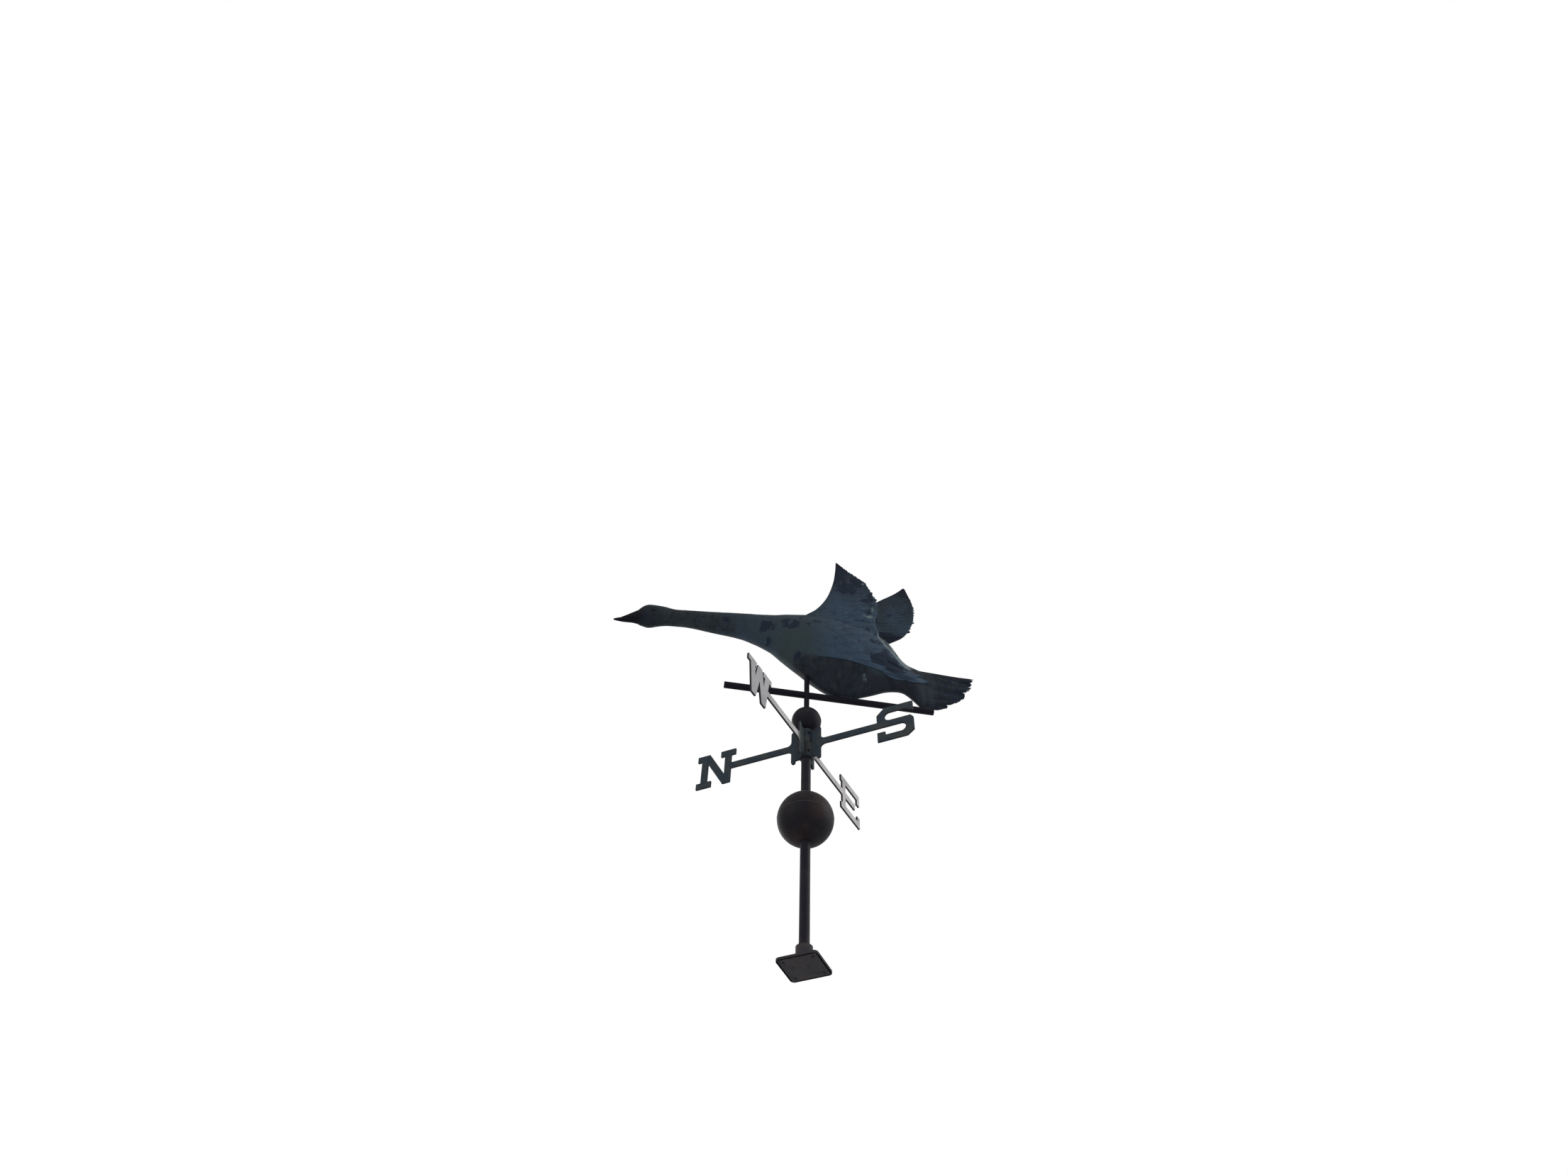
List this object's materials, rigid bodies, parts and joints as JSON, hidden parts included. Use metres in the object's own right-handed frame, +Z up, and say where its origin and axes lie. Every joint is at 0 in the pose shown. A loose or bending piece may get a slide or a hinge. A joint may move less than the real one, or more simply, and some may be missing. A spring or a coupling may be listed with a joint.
{
  "type": "goose weathervane",
  "caption": "Full-bodied flying goose weathervane that turns on a spindle above round globes and crossed compass letters, on a roof flange.",
  "frame": {"origin": "middle of the underside of the roof flange, on the mast axis", "axes": "+Z up the mast, +Y along the arm with the N, +X along the arm with the E"},
  "size_m": [0.6082, 0.8498, 1.3595],
  "materials": {
    "goose_copper": "weathered sheet copper, grey-green patina with dark blotches and pale streaks",
    "wing_copper": "weathered sheet copper with chased feather lines",
    "globe_copper": "dark brown weathered spun copper",
    "mast_copper": "dark brown weathered copper tube",
    "letter_bronze": "weathered cast bronze, grey-green with brown edges",
    "pale_bronze": "weathered cast bronze with a pale bleached crust",
    "dark_steel": "blackened, lightly rusted steel",
    "eye_bronze": "dark polished dome"
  },
  "bodies": {
    "mast": {"roof_flange": "dark_steel", "mast_rod": "dark_steel", "mast_tube": "mast_copper", "large_globe_lower": "globe_copper", "large_globe_upper": "globe_copper", "directional_ns": "letter_bronze", "directional_ew": "pale_bronze", "set_screws": "dark_steel", "small_globe_lower": "globe_copper", "small_globe_upper": "globe_copper"},
    "vane": {"pivot_tube": "dark_steel", "vane_bar": "dark_steel", "goose_head_left": "goose_copper", "goose_head_right": "goose_copper", "goose_neck_left": "goose_copper", "goose_neck_right": "goose_copper", "goose_body_left": "goose_copper", "goose_body_right": "goose_copper", "goose_tail_left": "wing_copper", "goose_tail_right": "wing_copper", "left_wing": "wing_copper", "right_wing": "wing_copper", "goose_eyes": "eye_bronze"}
  },
  "joints": [
    {"name": "vane_turn", "type": "hinge", "parent": "mast", "child": "vane", "pos_m": [0, 0, 0.9], "axis": [0, 0, 1], "continuous": true}
  ]
}
